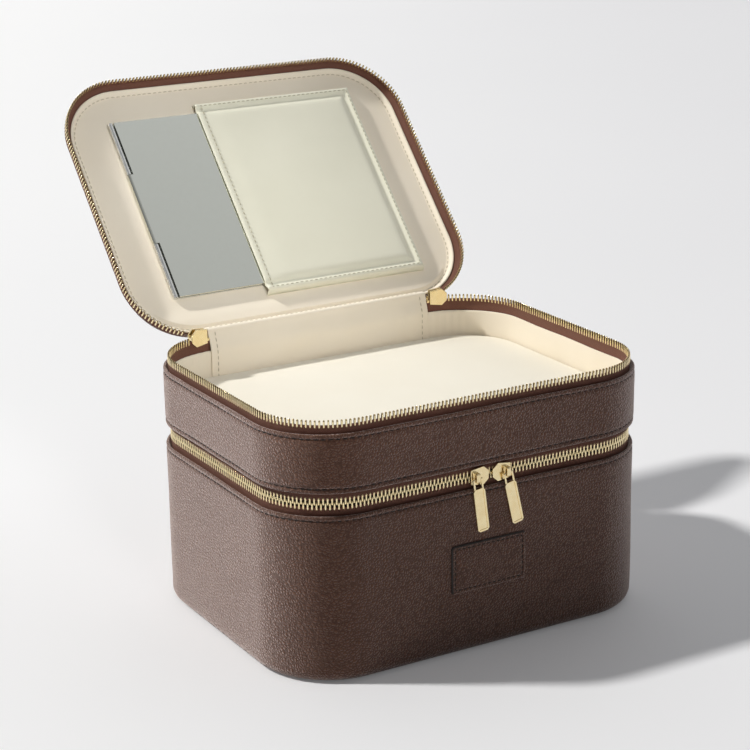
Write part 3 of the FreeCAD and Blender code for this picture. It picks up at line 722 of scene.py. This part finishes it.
def teeth(chain, upward, end_gap):
    """One of the two rows of teeth along a chain, as small blocks."""
    radius = CORNER - TRACK_INSET
    half = STRAIGHT_X + 2 * STRAIGHT_Y + math.pi * radius
    level = chain - HALF_CHAIN if upward else chain + HALF_CHAIN
    offset = 0.5 if upward else 0.0
    pattern, faces = tooth_block()
    local = pattern if upward else pattern * np.array([-1, 1, -1])
    blocks = []
    count = int(half / TOOTH_PITCH) + 1
    for step in range(-count, count + 1):
        place = (step + offset) * TOOTH_PITCH
        if abs(place) > half - end_gap:
            continue
        x, y, out = foot(place, radius)
        turn = out - math.pi / 2
        c, s = math.cos(turn), math.sin(turn)
        jitter = chance.normal(0, 0.03)
        points = np.empty_like(local)
        points[:, 0] = x + radius * math.cos(out) + local[:, 0] * c - local[:, 1] * s
        points[:, 1] = y + radius * math.sin(out) + local[:, 0] * s + local[:, 1] * c
        points[:, 2] = level + local[:, 2] + jitter
        blocks.append((points, faces))
    return blocks


def bead(edge, way):
    """Corded edge of a tape from its outer to its inner face, standing up (1) or hanging down (-1)."""
    section = ((WALL, -0.5), (2.58, -0.1), (2.58, 0.8), (WALL, 1.2), (TAPE_INNER, 1.2), (3.62, 0.8),
               (3.62, -0.1), (TAPE_INNER, -0.5))
    return [(inset, edge + way * rise) for inset, rise in section]


def make_tapes():
    """The four zip tapes: three stand in the walls, the lid's slopes in under its edge."""
    # Cloth coordinates where the sections close, and the place where the lid's tape ends
    wall_close, lid_close, lid_end = 25.0, 11.0, 285.6
    tapes = (("base", "lower", BASE_RIM - TAPE_TUCK, LOWER_CHAIN - HALF_CHAIN, 1),
             ("tray", "lower", TRAY_LOW + TAPE_TUCK, LOWER_CHAIN + HALF_CHAIN, -1),
             ("tray", "upper", TRAY_RIM - TAPE_TUCK, UPPER_CHAIN - HALF_CHAIN, 1))
    places = np.linspace(-HINGE_END, HINGE_END, 241)
    for body, tier, end, edge, way in tapes:
        middle = (end + edge) / 2
        section = [(WALL, end), (WALL, middle)] + bead(edge, way) + [(TAPE_INNER, middle), (TAPE_INNER, end)]
        rows = around(section, places)
        across = np.append(lengths(section), wall_close)
        piece = grid(body + "_" + tier + "_tape", rows, False, True, places, across, True)
        finish(piece, tape, body, [tier + "_zip_tape_" + body])

    section = [(WALL, 146.0), (4.4, 146.95), (6.45, 147.6), (6.95, 147.15), (4.9, 146.4), (3.42, 145.7)]
    section += bead(UPPER_CHAIN + HALF_CHAIN, -1)[::-1]
    places = np.linspace(-lid_end, lid_end, 231)
    rows = laid_back(around(section, places))
    piece = grid("lid_tape", rows, False, True, places, np.append(lengths(section), lid_close), True)
    finish(piece, tape, "lid", ["upper_zip_tape_lid"])


def make_teeth():
    """The four rows of teeth, with darker brass painted on the flanks that face each other as shade between
    the teeth.
    """
    past_stop, past_slider = 4.7, 14.2
    rows = (("base_lower_teeth", "base", "lower", LOWER_CHAIN, True, past_stop),
            ("tray_lower_teeth", "tray", "lower", LOWER_CHAIN, False, past_stop),
            ("tray_upper_teeth", "tray", "upper", UPPER_CHAIN, True, past_slider),
            ("lid_teeth", "lid", "upper", UPPER_CHAIN, False, past_slider))
    flanks = (TOOTH_SIDES // 2 - 1, TOOTH_SIDES - 1)
    for name, body, tier, chain, upward, gap in rows:
        blocks = teeth(chain, upward, gap)
        if body == "lid":
            blocks = [(laid_back(points), faces) for points, faces in blocks]
        piece = finish(joined(name, blocks), brass, body, [tier + "_zip_teeth_" + body])
        piece.data.materials.append(shaded_flank_brass)
        count = len(blocks[0][1])
        # Flanks that face the next tooth take the darker brass, painted shade between the teeth.
        for k, face in enumerate(piece.data.polygons):
            on_side = k % count < count - 2
            face.material_index = int(on_side and k % count % TOOTH_SIDES in flanks)


# Linings

def pucker(place, inset, height):
    """Slack of the tray's wall cloth, with gathers beside the back panel."""
    near = np.exp(-((abs(place) - 290) / 13) ** 2)
    gathers = 0.45 * near * (1 + np.sin(place * 2 * math.pi / 5.2))
    loose = 0.12 * (1 + np.sin(place / 11.0) * np.sin(place / 4.1))
    lift = 0.35 + 0.65 * smooth_step(height, 116, 131)
    sewn = 0.3 + 0.7 * smooth_step(height, 132.2, 130.4)
    return (gathers * lift + loose) * sewn, 0.15 * np.sin(place / 9.0) * (height > 131)


def make_linings():
    """Cloth on the tray's wall, in the base and under the tray."""
    places = round_places(1.6)
    wall = [(LINING_INSET, z) for z in np.linspace(114.6, 130.5, 12)] + [(3.75, 131.3), (3.7, 132.0)]
    piece = thick(grid("tray_wall_cloth", around(wall, places, pucker), True, False, places), 0.7)
    finish(piece, lining, "tray", ["tray_wall_lining"])

    places = round_places(2.6)
    bend, floor_top = 5.0, 5.7
    cup = [(LINING_INSET, z) for z in np.linspace(BASE_RIM - 3, 12, 16)]
    cup += arc((LINING_INSET + bend, floor_top + bend), bend, 180, 270, 6)
    rows = filled(around(cup, places), (0.85, 0.6, 0.3, 0.0))
    piece = thick(grid("base_cloth", rows, True), 0.8)
    finish(piece, lining, "base", ["base_lining"])

    level = 112.1
    rows = filled(around([(3.9, level), (6, level)], places), (0.8, 0.6, 0.4, 0.2, 0.0))
    piece = thick(grid("tray_underside_cloth", rows, True), 0.8)
    finish(piece, lining, "tray", ["tray_underside_lining"])


def make_lid_lining():
    """The lid's cloth with its rolled edge, and the stitches along the roll."""
    def puff(x, y, share):
        crease = 0.3 * np.exp(-((y - 71 + 0.08 * x) / 4) ** 2) * (0.5 + 0.5 * np.sin(x / 21.0 + 0.5))
        by_hinge = 1.6 * smooth_step(y, 64, 75)
        return 0.08 * smooth_step(1 - share, 0, 0.03) - crease - by_hinge

    roll = [(7.1, 148.6), (6.75, 147.6), (6.6, 147.0), (6.8, 146.5), (7.3, 146.45), (7.9, 147.0),
            (8.5, 147.9), (9.1, 148.8), (9.6, 149.4), (10.2, 149.6), (11.2, 149.62)]
    shares = (0.995, 0.985, 0.97, 0.94, 0.9, 0.85, 0.78, 0.7, 0.6, 0.5, 0.4, 0.3, 0.2, 0.1, 0.0)
    rows = filled(around(roll, round_places(1.8)), shares, puff)
    piece = grid("lid_cloth", laid_back(rows), True)
    finish(piece, lining, "lid", ["lid_lining"])
    line = rim_line(9.6, 149.3)[0]
    blocks = lid_stitches(line, (0.0, 0.0, -1.0), *LID_CLOTH_THREAD)
    finish(joined("lid_cloth_stitching", blocks), cream_thread, "lid")


def make_pocket():
    """Pocket over the mirror: raised border, a furrow, a flat face and a hemmed mouth on the left."""
    left, right, low, high = -24.0, 82.5, -67.5, 65.5
    edge = np.array([0, 0.3, 0.7, 1.3, 2, 2.8, 3.4, 4, 5, 5.6, 6.2, 6.8, 7.6, 8.6, 10, 11.5, 13, 15])
    rise = [0.1, 2.3, 3.8, 4.7, 5.05, 4.8, 4.35, 3.9, 3.4, 3.3, 3.6, 4.05, 4.55, 5.05, 5.4, 5.5, 5.5, 5.5]
    mouth = np.array([0, 0.12, 0.4, 0.9, 1.6, 2.4, 3.0, 3.5, 4.2])
    hem = [-0.55, 0.05, 0.32, 0.45, 0.45, 0.4, 0.2, 0.02, 0]
    xs = np.concatenate([left + mouth, np.linspace(left + 6, right - 17, 34), right - edge[::-1]])
    ys = np.concatenate([low + edge, np.linspace(low + 17, high - 17, 40), high - edge[::-1]])
    rows = np.zeros((len(xs), len(ys), 3))
    for i, x in enumerate(xs):
        for j, y in enumerate(ys):
            side = min(y - low, high - y)
            inside = min(right - x, side)
            height = float(np.interp(inside, edge, rise))
            by_mouth = smooth_step(x - left, 16, 3) * smooth_step(inside, 5, 8)
            height -= 0.7 * float(smooth_step(height, 4.65, 5.35) * by_mouth)
            height += float(np.interp(x - left, mouth, hem) * smooth_step(side, 0.5, 3))
            slack = 0.14 * math.sin(x / 17 + y / 29) + 0.1 * math.sin(y / 13 - x / 31 + 1)
            height += slack * float(smooth_step(inside, 9, 24))
            rows[i, j] = (x, y, LID_CEILING - height)
    piece = thick(grid("pocket_cloth", laid_back(rows), False, False, xs, ys), 0.55)
    finish(piece, pocket_cloth, "lid", ["mirror_pocket", "mirror_pocket_hem"])

    inset, ridge = 2.6, LID_CEILING - 4.98
    border = [(left + 1.5, low + inset), (right - inset, low + inset), (right - inset, high - inset),
              (left + 1.5, high - inset)]
    lines = list(zip(border[:-1], border[1:])) + [((left + 3.3, low + 3), (left + 3.3, high - 3))]
    t = np.linspace(0, 1, 60)[:, None]
    blocks = []
    for (x0, y0), (x1, y1) in lines:
        line = np.hstack([x0 + (x1 - x0) * t, y0 + (y1 - y0) * t, np.full_like(t, ridge)])
        blocks += lid_stitches(line, (0.0, 0.0, -1.0), *POCKET_THREAD)
    finish(joined("pocket_stitching", blocks), olive_thread, "lid")


# Hinge strips and back panel

def panel_path():
    """Section of the back panel: up from the tray's floor, over the fold and in to the lid."""
    fold_z, radius = 142.9, 1.1
    path = []
    for z in np.linspace(115.2, fold_z, PANEL_STEPS):
        path.append((85.0 + 3.0 * float(smooth_step(z, 130.5, 143.5)), z))
    fold_y = path[-1][0]
    for t in np.radians(np.linspace(0, 96, 7)[1:]):
        path.append((fold_y + radius - radius * math.cos(t), fold_z + radius * math.sin(t)))
    path += [(90.2, 143.75), (91.6, 143.4), (93.0, 143.05), (94.6, 142.7), (96.2, 142.3)]
    return np.array(path)


def panel_depth(x, y, z):
    """Softness of the back panel: a slack belly, slow waves and two soft folds by its right end."""
    middle = 1 - (x / STRAIGHT_X) ** 4
    belly = smooth_step(z, 115, 121) * smooth_step(z, 141, 133)
    slow = 0.5 * middle * (0.5 + 0.5 * math.sin(x / 15 + z / 9))
    waves = slow + 0.25 * math.sin(x / 6.5 + 2 * math.sin(z / 8))
    folds = 0.75 * math.exp(-((x - 55 - z / 40) / 3.2) ** 2) + 0.5 * math.exp(-((x - 63.5) / 2.2) ** 2)
    return y - max(belly * (waves + folds), -0.1)


def make_back_panel():
    """Cream panel inside the lid's hinge, with a seam at each end."""
    path = panel_path()
    seam_end = STRAIGHT_X - 2.5
    hem = STRAIGHT_X - np.array([1.2, 0.4, 0.0])
    xs = np.concatenate([-hem[::-1], np.linspace(-seam_end, seam_end, 92), hem])
    rows = np.zeros((len(xs), len(path), 3))
    for i, x in enumerate(xs):
        for j, (y, z) in enumerate(path):
            seam = 0.22 * math.exp(-((abs(x) - PANEL_SEAM) / 0.7) ** 2) * (z < 141)
            rows[i, j] = (x, panel_depth(x, y, z) + seam, z)
    piece = thick(grid("back_panel_cloth", rows, False, False, xs, lengths(path)), 0.8)
    finish(piece, lining, ACROSS_LID, ["upper_hinge_lining"])
    blocks = []
    for x in (-PANEL_SEAM, PANEL_SEAM):
        line = np.array([(x, panel_depth(x, y, z) - 0.3, z) for y, z in path[:PANEL_STEPS]])
        blocks += stitches(line, (0.0, -1.0, 0.0), *PANEL_SIDE_THREAD)
    line = np.array([(x, 92.0, 143.6) for x in np.linspace(-70, 70, 80)])
    blocks += stitches(line, (0.0, 0.0, 1.0), *PANEL_TOP_THREAD)
    finish(joined("back_panel_stitching", blocks), cream_thread, ACROSS_LID)


def make_hinge_strips():
    """Leather strips behind both hinges and the cloth inside the lower one."""
    xs = np.linspace(-STRAIGHT_X, STRAIGHT_X, 61)
    radius, axis_z = 2.31, 139.55
    path = [(HINGE_Y, z) for z in np.linspace(TRAY_RIM - 1.4, axis_z, 6)]
    for t in np.linspace(0, LID_OPEN, 12)[1:]:
        path.append((HINGE_Y + radius - radius * math.cos(t), axis_z + radius * math.sin(t)))
    rows = np.array([[(x, y, z) for y, z in path] for x in xs])
    piece = thick(grid("upper_back_leather", rows), 1.4)
    finish(piece, leather, ACROSS_LID_LEATHER, ["upper_hinge_leather"])

    gap = TRAY_LOW - BASE_RIM
    heights = np.linspace(BASE_RIM - 1.5, TRAY_LOW + 1.5, 12)
    dips = 0.25 * np.sin((heights - BASE_RIM) / gap * math.pi) ** 2
    rows = np.array([[(x, HINGE_Y - dip, z) for dip, z in zip(dips, heights)] for x in xs])
    piece = thick(grid("lower_back_leather", rows), 1.3)
    finish(piece, leather, ACROSS_TRAY, ["lower_hinge_leather"])

    heights = np.linspace(BASE_RIM - 3, 111.7, 18)
    rows = np.array([[(x, 86.5 - 0.2 * math.sin(x / 9 + z / 5), z) for z in heights] for x in xs])
    piece = thick(grid("lower_back_cloth", rows), 0.8)
    finish(piece, lining, ACROSS_TRAY, ["lower_hinge_lining"])


# Tray pad

def settled(piece, held, limit):
    """Settles a cover in a short cloth simulation with pressure inside; its movement is capped in mm."""
    before = np.array([point.co for point in piece.data.vertices])
    piece.vertex_groups.new(name="sewn").add(held, 1.0, "REPLACE")
    cover = piece.modifiers.new("cover", "CLOTH")
    cloth = cover.settings
    cloth.quality = 6
    cloth.mass = 0.2
    cloth.use_pressure = True
    cloth.uniform_pressure_force = 4.0
    cloth.effector_weights.gravity = 0.0
    cloth.vertex_group_mass = "sewn"
    cloth.shrink_min = -0.015
    cover.collision_settings.use_collision = False
    cover.point_cache.frame_start = 1
    cover.point_cache.frame_end = SETTLE_FRAMES
    for frame_number in range(1, SETTLE_FRAMES + 1):
        scene.frame_set(frame_number)
    shaped = piece.evaluated_get(bpy.context.evaluated_depsgraph_get())
    after = np.array([point.co for point in shaped.data.vertices])
    piece.modifiers.remove(cover)
    scene.frame_set(1)
    move = after - before
    farthest = np.linalg.norm(move, axis=1).max()
    move *= min(1.0, limit * MM / max(farthest, 1e-9))
    piece.data.vertices.foreach_set("co", (before + move).astype(np.float32).ravel())
    piece.data.update()


def pad_ring(turns, inset, height):
    """Points round the pad at turns from 0 to 8, two to a side, its back edge wavy."""
    bend = STRAIGHT_X + CORNER * math.pi / 4
    side = HALF_ROUND - bend
    marks = [-bend, bend, side, 2 * HALF_ROUND - side, 2 * HALF_ROUND - bend]
    places = np.interp(turns, [0, 2, 4, 6, 8], marks)
    points = []
    for place in np.where(places > HALF_ROUND, places - 2 * HALF_ROUND, places):
        x, y, out = foot(place)
        behind = float(smooth_step(y + CORNER * math.sin(out), 60, 88))
        more = inset + behind * (1.1 + 0.6 * math.sin(x / 26 + 0.8) + 0.25 * math.sin(x / 9))
        points.append((x + (CORNER - more) * math.cos(out), y + (CORNER - more) * math.sin(out), height))
    return np.array(points)


def make_pad():
    """Tray floor: a cloth cover over thin foam, settled by a short cloth simulation."""
    count = 85
    skirt = [(7.6, 117.4), (6.5, 117.25), (5.7, 116.8), (5.3, 116.1), (5.4, 115.5), (5.9, 115.05),
             (9, 115.05)]
    top_inset, top_z = skirt[0]
    walk = np.linspace(0, 8, 4 * (count - 1), endpoint=False)
    sides = np.stack([pad_ring(walk, inset, height) for inset, height in skirt], 1)
    under = sides[:, -1:] * np.array([0.0, 0.0, 1.0])
    sides = np.concatenate([sides, under], 1)

    us, vs = np.meshgrid(np.linspace(-1, 1, count), np.linspace(-1, 1, count), indexing="ij")
    share = np.maximum(abs(us), abs(vs))
    wide = np.maximum(share, 1e-9)
    turns = np.select([vs <= -share, us >= share, vs >= share],
                      [us / wide + 1, 3 + vs / wide, 5 - us / wide], 7 - vs / wide)
    top = pad_ring(turns.ravel(), top_inset, 0.0).reshape(count, count, 3) * share[..., None]
    x, y = top[..., 0], top[..., 1]
    dents = 0.1 * np.sin(x / 17 + np.sin(y / 21)) * np.sin(y / 13 + x / 40)
    top[..., 2] = top_z + 0.3 * smooth_step(1 - share, 0, 0.25) + dents * smooth_step(1 - share, 0.02, 0.2)

    blocks = []
    for block, closed in ((sides, True), (top, False)):
        index = np.arange(block.shape[0] * block.shape[1]).reshape(block.shape[:2])
        index = np.vstack([index, index[:1]]) if closed else index
        blocks.append((block.reshape(-1, 3), corners(index).reshape(-1, 4).tolist()))
    piece = tidy_mesh(joined("tray_pad", blocks))
    heights = np.array([point.co.z for point in piece.data.vertices])
    held = np.nonzero(heights < (top_z + 0.02) * MM)[0].tolist()
    settled(piece, held, 0.9)
    finish(piece, pad_cloth, "tray", ["tray_floor_pad"])


make_leather()
make_leather_stitches()
make_tapes()
make_teeth()
make_linings()
make_lid_lining()
make_pocket()
make_back_panel()
make_hinge_strips()
make_pad()


# CAD nodes that stay

def dress(name, look, width=None):
    """Gives a CAD node its look and slot, and rounds its edges by a width in mm."""
    node = nodes[name]
    node.data.materials.clear()
    node.data.materials.append(look)
    if width is None:
        return
    node.data.polygons.foreach_set("use_smooth", [True] * len(node.data.polygons))
    weld = node.modifiers.new("weld", "WELD")
    weld.merge_threshold = WELDED * MM
    edge = node.modifiers.new("edges", "BEVEL")
    edge.width = width * MM
    edge.segments = 3
    edge.limit_method = "ANGLE"
    edge.angle_limit = math.radians(32)
    edge.use_clamp_overlap = True
    even = node.modifiers.new("normals", "WEIGHTED_NORMAL")
    even.keep_sharp = False


for side in ("left", "right"):
    for tier in ("lower", "upper"):
        dress(tier + "_" + side + "_slider", brass, 0.28)
        dress(tier + "_" + side + "_pull", brass, 0.22)
for name in ("lower_zip_stops_base", "lower_zip_stops_tray", "upper_zip_stops_tray"):
    dress(name, brass, 0.25)
dress("mirror_plate", mirror, 0.25)
dress("mirror_stand", satin, 0.25)
dress("mirror_hinge_pin", satin, 0.1)
for name in ("base_wall_board", "base_floor_board", "tray_wall_board", "tray_floor_board", "lid_board"):
    dress(name, board)


# Floor, lamps and camera, in metres

def make_floor(half):
    """Wide flat floor under the case."""
    mesh = bpy.data.meshes.new("studio_floor")
    points = [(-half, -half, 0), (half, -half, 0), (half, half, 0), (-half, half, 0)]
    mesh.from_pydata(points, [], [(0, 1, 2, 3)])
    mesh.materials.append(floor_material())
    floor = bpy.data.objects.new("studio_floor", mesh)
    scene.collection.objects.link(floor)


def make_lamp(name, kind, beam, place=(0, 0, 0), seen=True, **settings):
    """Lamp that shines along a direction; unseen, it hides from the camera and from reflections."""
    lamp = bpy.data.lights.new(name, kind)
    for key, value in settings.items():
        setattr(lamp, key, value)
    made = bpy.data.objects.new(name, lamp)
    made.location = place
    made.rotation_euler = Vector(beam).to_track_quat("-Z", "Y").to_euler()
    made.visible_glossy = seen
    made.visible_camera = seen
    scene.collection.objects.link(made)


def make_room():
    """Soft light of the room: a broad glow at the back, a faint one above and a narrow one at the right."""
    world = bpy.data.worlds.new("studio")
    scene.world = world
    world.use_nodes = True
    tree = world.node_tree
    tree.nodes.clear()
    sky = add(tree, "ShaderNodeTexCoord")

    def glow(direction, low, strength):
        towards = add(tree, "ShaderNodeVectorMath", {0: sky.outputs["Generated"]}, operation="DOT_PRODUCT")
        towards.inputs[1].default_value = direction
        spread = add(tree, "ShaderNodeMapRange", {"Value": towards.outputs["Value"]},
                     interpolation_type="SMOOTHSTEP", From_Min=low, From_Max=1.0, To_Max=strength)
        return spread.outputs["Result"]

    broad = glow((0.45, 0.84, 0.3), 0.0, 0.68)
    faint = glow((0.05, -0.4, 0.915), 0.1, 0.05)
    narrow = glow((0.48, -0.34, 0.81), 0.72, 0.22)
    total = maths(tree, "ADD", {0: maths(tree, "ADD", {0: broad, 1: faint}), 1: narrow})
    path = add(tree, "ShaderNodeLightPath")
    seen = maths(tree, "MULTIPLY_ADD", {0: path.outputs["Is Glossy Ray"], 2: total}, 0.2)
    light = add(tree, "ShaderNodeBackground", {"Strength": seen}, Color=(0.98, 0.985, 1.0, 1))
    add(tree, "ShaderNodeOutputWorld", {"Surface": light.outputs[0]})


def make_camera(place, azimuth, elevation, roll, lens):
    """Camera at a place, its angles in degrees."""
    azimuth, elevation, roll = math.radians(azimuth), math.radians(elevation), math.radians(roll)
    back = Vector((math.sin(azimuth) * math.cos(elevation), -math.cos(azimuth) * math.cos(elevation),
                   math.sin(elevation)))
    level_right = (-back).cross(Vector((0, 0, 1))).normalized()
    level_up = level_right.cross(-back)
    right = level_right * math.cos(roll) + level_up * math.sin(roll)
    up = level_up * math.cos(roll) - level_right * math.sin(roll)
    camera = bpy.data.objects.new("camera", bpy.data.cameras.new("camera"))
    camera.data.sensor_width = 36.0
    camera.data.lens = lens
    camera.data.clip_end = 50.0
    axes = Matrix((right, up, back)).transposed().to_4x4()
    camera.matrix_world = Matrix.Translation(place) @ axes
    scene.collection.objects.link(camera)
    scene.camera = camera


make_floor(6.0)
make_lamp("key_left_back", "SUN", (0.588, -0.37, -0.719), energy=2.85, angle=math.radians(4),
          color=(1.0, 0.985, 0.96))
make_lamp("lid_soft_box", "AREA", (0.06, 0.49, -0.21), (-0.09, -0.35, 0.42), False, energy=0.138, size=0.2,
          spread=math.radians(44))
make_room()
make_camera((-0.566042, -0.943527, 0.474026), -30.3, 17.45, -0.76, 100.86)
scene.view_settings.view_transform = "Standard"
